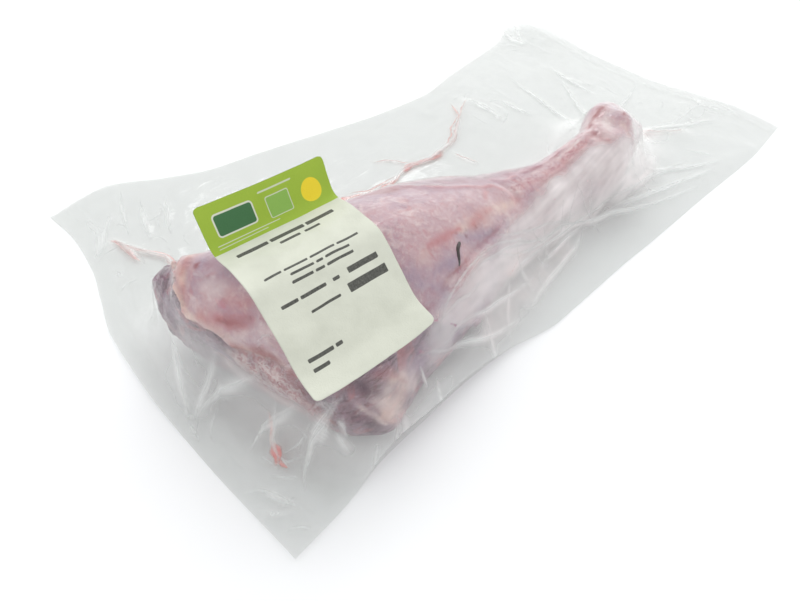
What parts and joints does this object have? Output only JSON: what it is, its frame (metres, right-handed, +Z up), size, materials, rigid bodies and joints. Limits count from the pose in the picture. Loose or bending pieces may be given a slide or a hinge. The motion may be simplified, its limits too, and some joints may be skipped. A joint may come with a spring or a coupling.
{
  "type": "vacuum-packed turkey drumstick",
  "caption": "Raw turkey drumstick, skin on, drawn tight in a clear vacuum bag with wide flat margins and a paper label across its thick end.",
  "frame": {"origin": "on the surface it lies on, under the middle of the whole pack's box", "axes": "+X along the bag towards the knuckle end, +Y across the bag towards the wide margin, +Z up"},
  "size_m": [0.4638, 0.255, 0.0856],
  "materials": {
    "film": "clear glossy film over pink raw meat",
    "label_paper": "satin coated paper, green band at one end"
  },
  "bodies": {
    "root": {"bag": "film", "label": "label_paper"}
  },
  "joints": []
}
